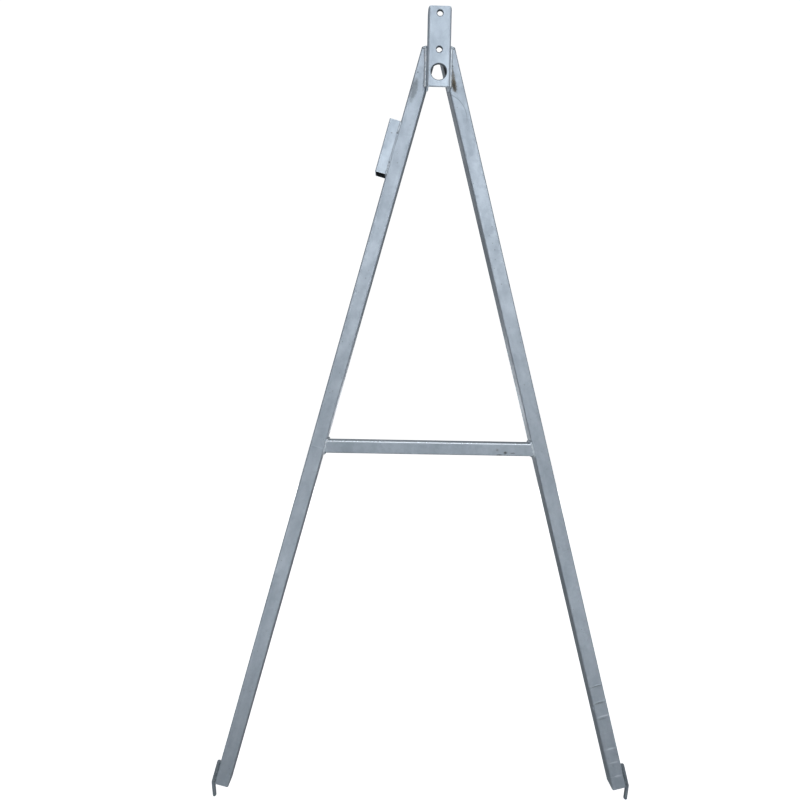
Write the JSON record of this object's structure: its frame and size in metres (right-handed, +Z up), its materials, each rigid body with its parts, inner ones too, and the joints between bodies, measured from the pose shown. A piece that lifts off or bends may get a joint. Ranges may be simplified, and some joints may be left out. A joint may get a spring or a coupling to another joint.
{
  "type": "easel a-frame",
  "caption": "Welded A-frame of a field easel: leaning square-tube legs, a crossbar, a drilled head channel, a side socket and bent-rod ground spikes.",
  "frame": {"origin": "on the ground plane at the spike tips, midway between the feet and at the middle of the depth", "axes": "+Z up, -Y the front, which the head channel's web faces, and -X the left side, which carries the socket"},
  "size_m": [0.758, 0.0404, 1.3589],
  "materials": {
    "galvanised_steel": "hot-dip galvanised, matt, mottled grey",
    "weld_metal": "galvanised weld beads, rough, with brown stains"
  },
  "bodies": {
    "root": {"left_leg": "galvanised_steel", "right_leg": "galvanised_steel", "crossbar": "galvanised_steel", "head_channel": "galvanised_steel", "side_socket": "galvanised_steel", "left_ground_spike": "galvanised_steel", "right_ground_spike": "galvanised_steel", "head_weld_left": "weld_metal", "head_weld_right": "weld_metal", "head_cap_weld_left": "weld_metal", "head_cap_weld_right": "weld_metal", "crossbar_weld_left": "weld_metal", "crossbar_weld_right": "weld_metal", "socket_weld_upper": "weld_metal", "socket_weld_lower": "weld_metal", "spike_weld_left": "weld_metal", "spike_weld_right": "weld_metal"}
  },
  "joints": []
}
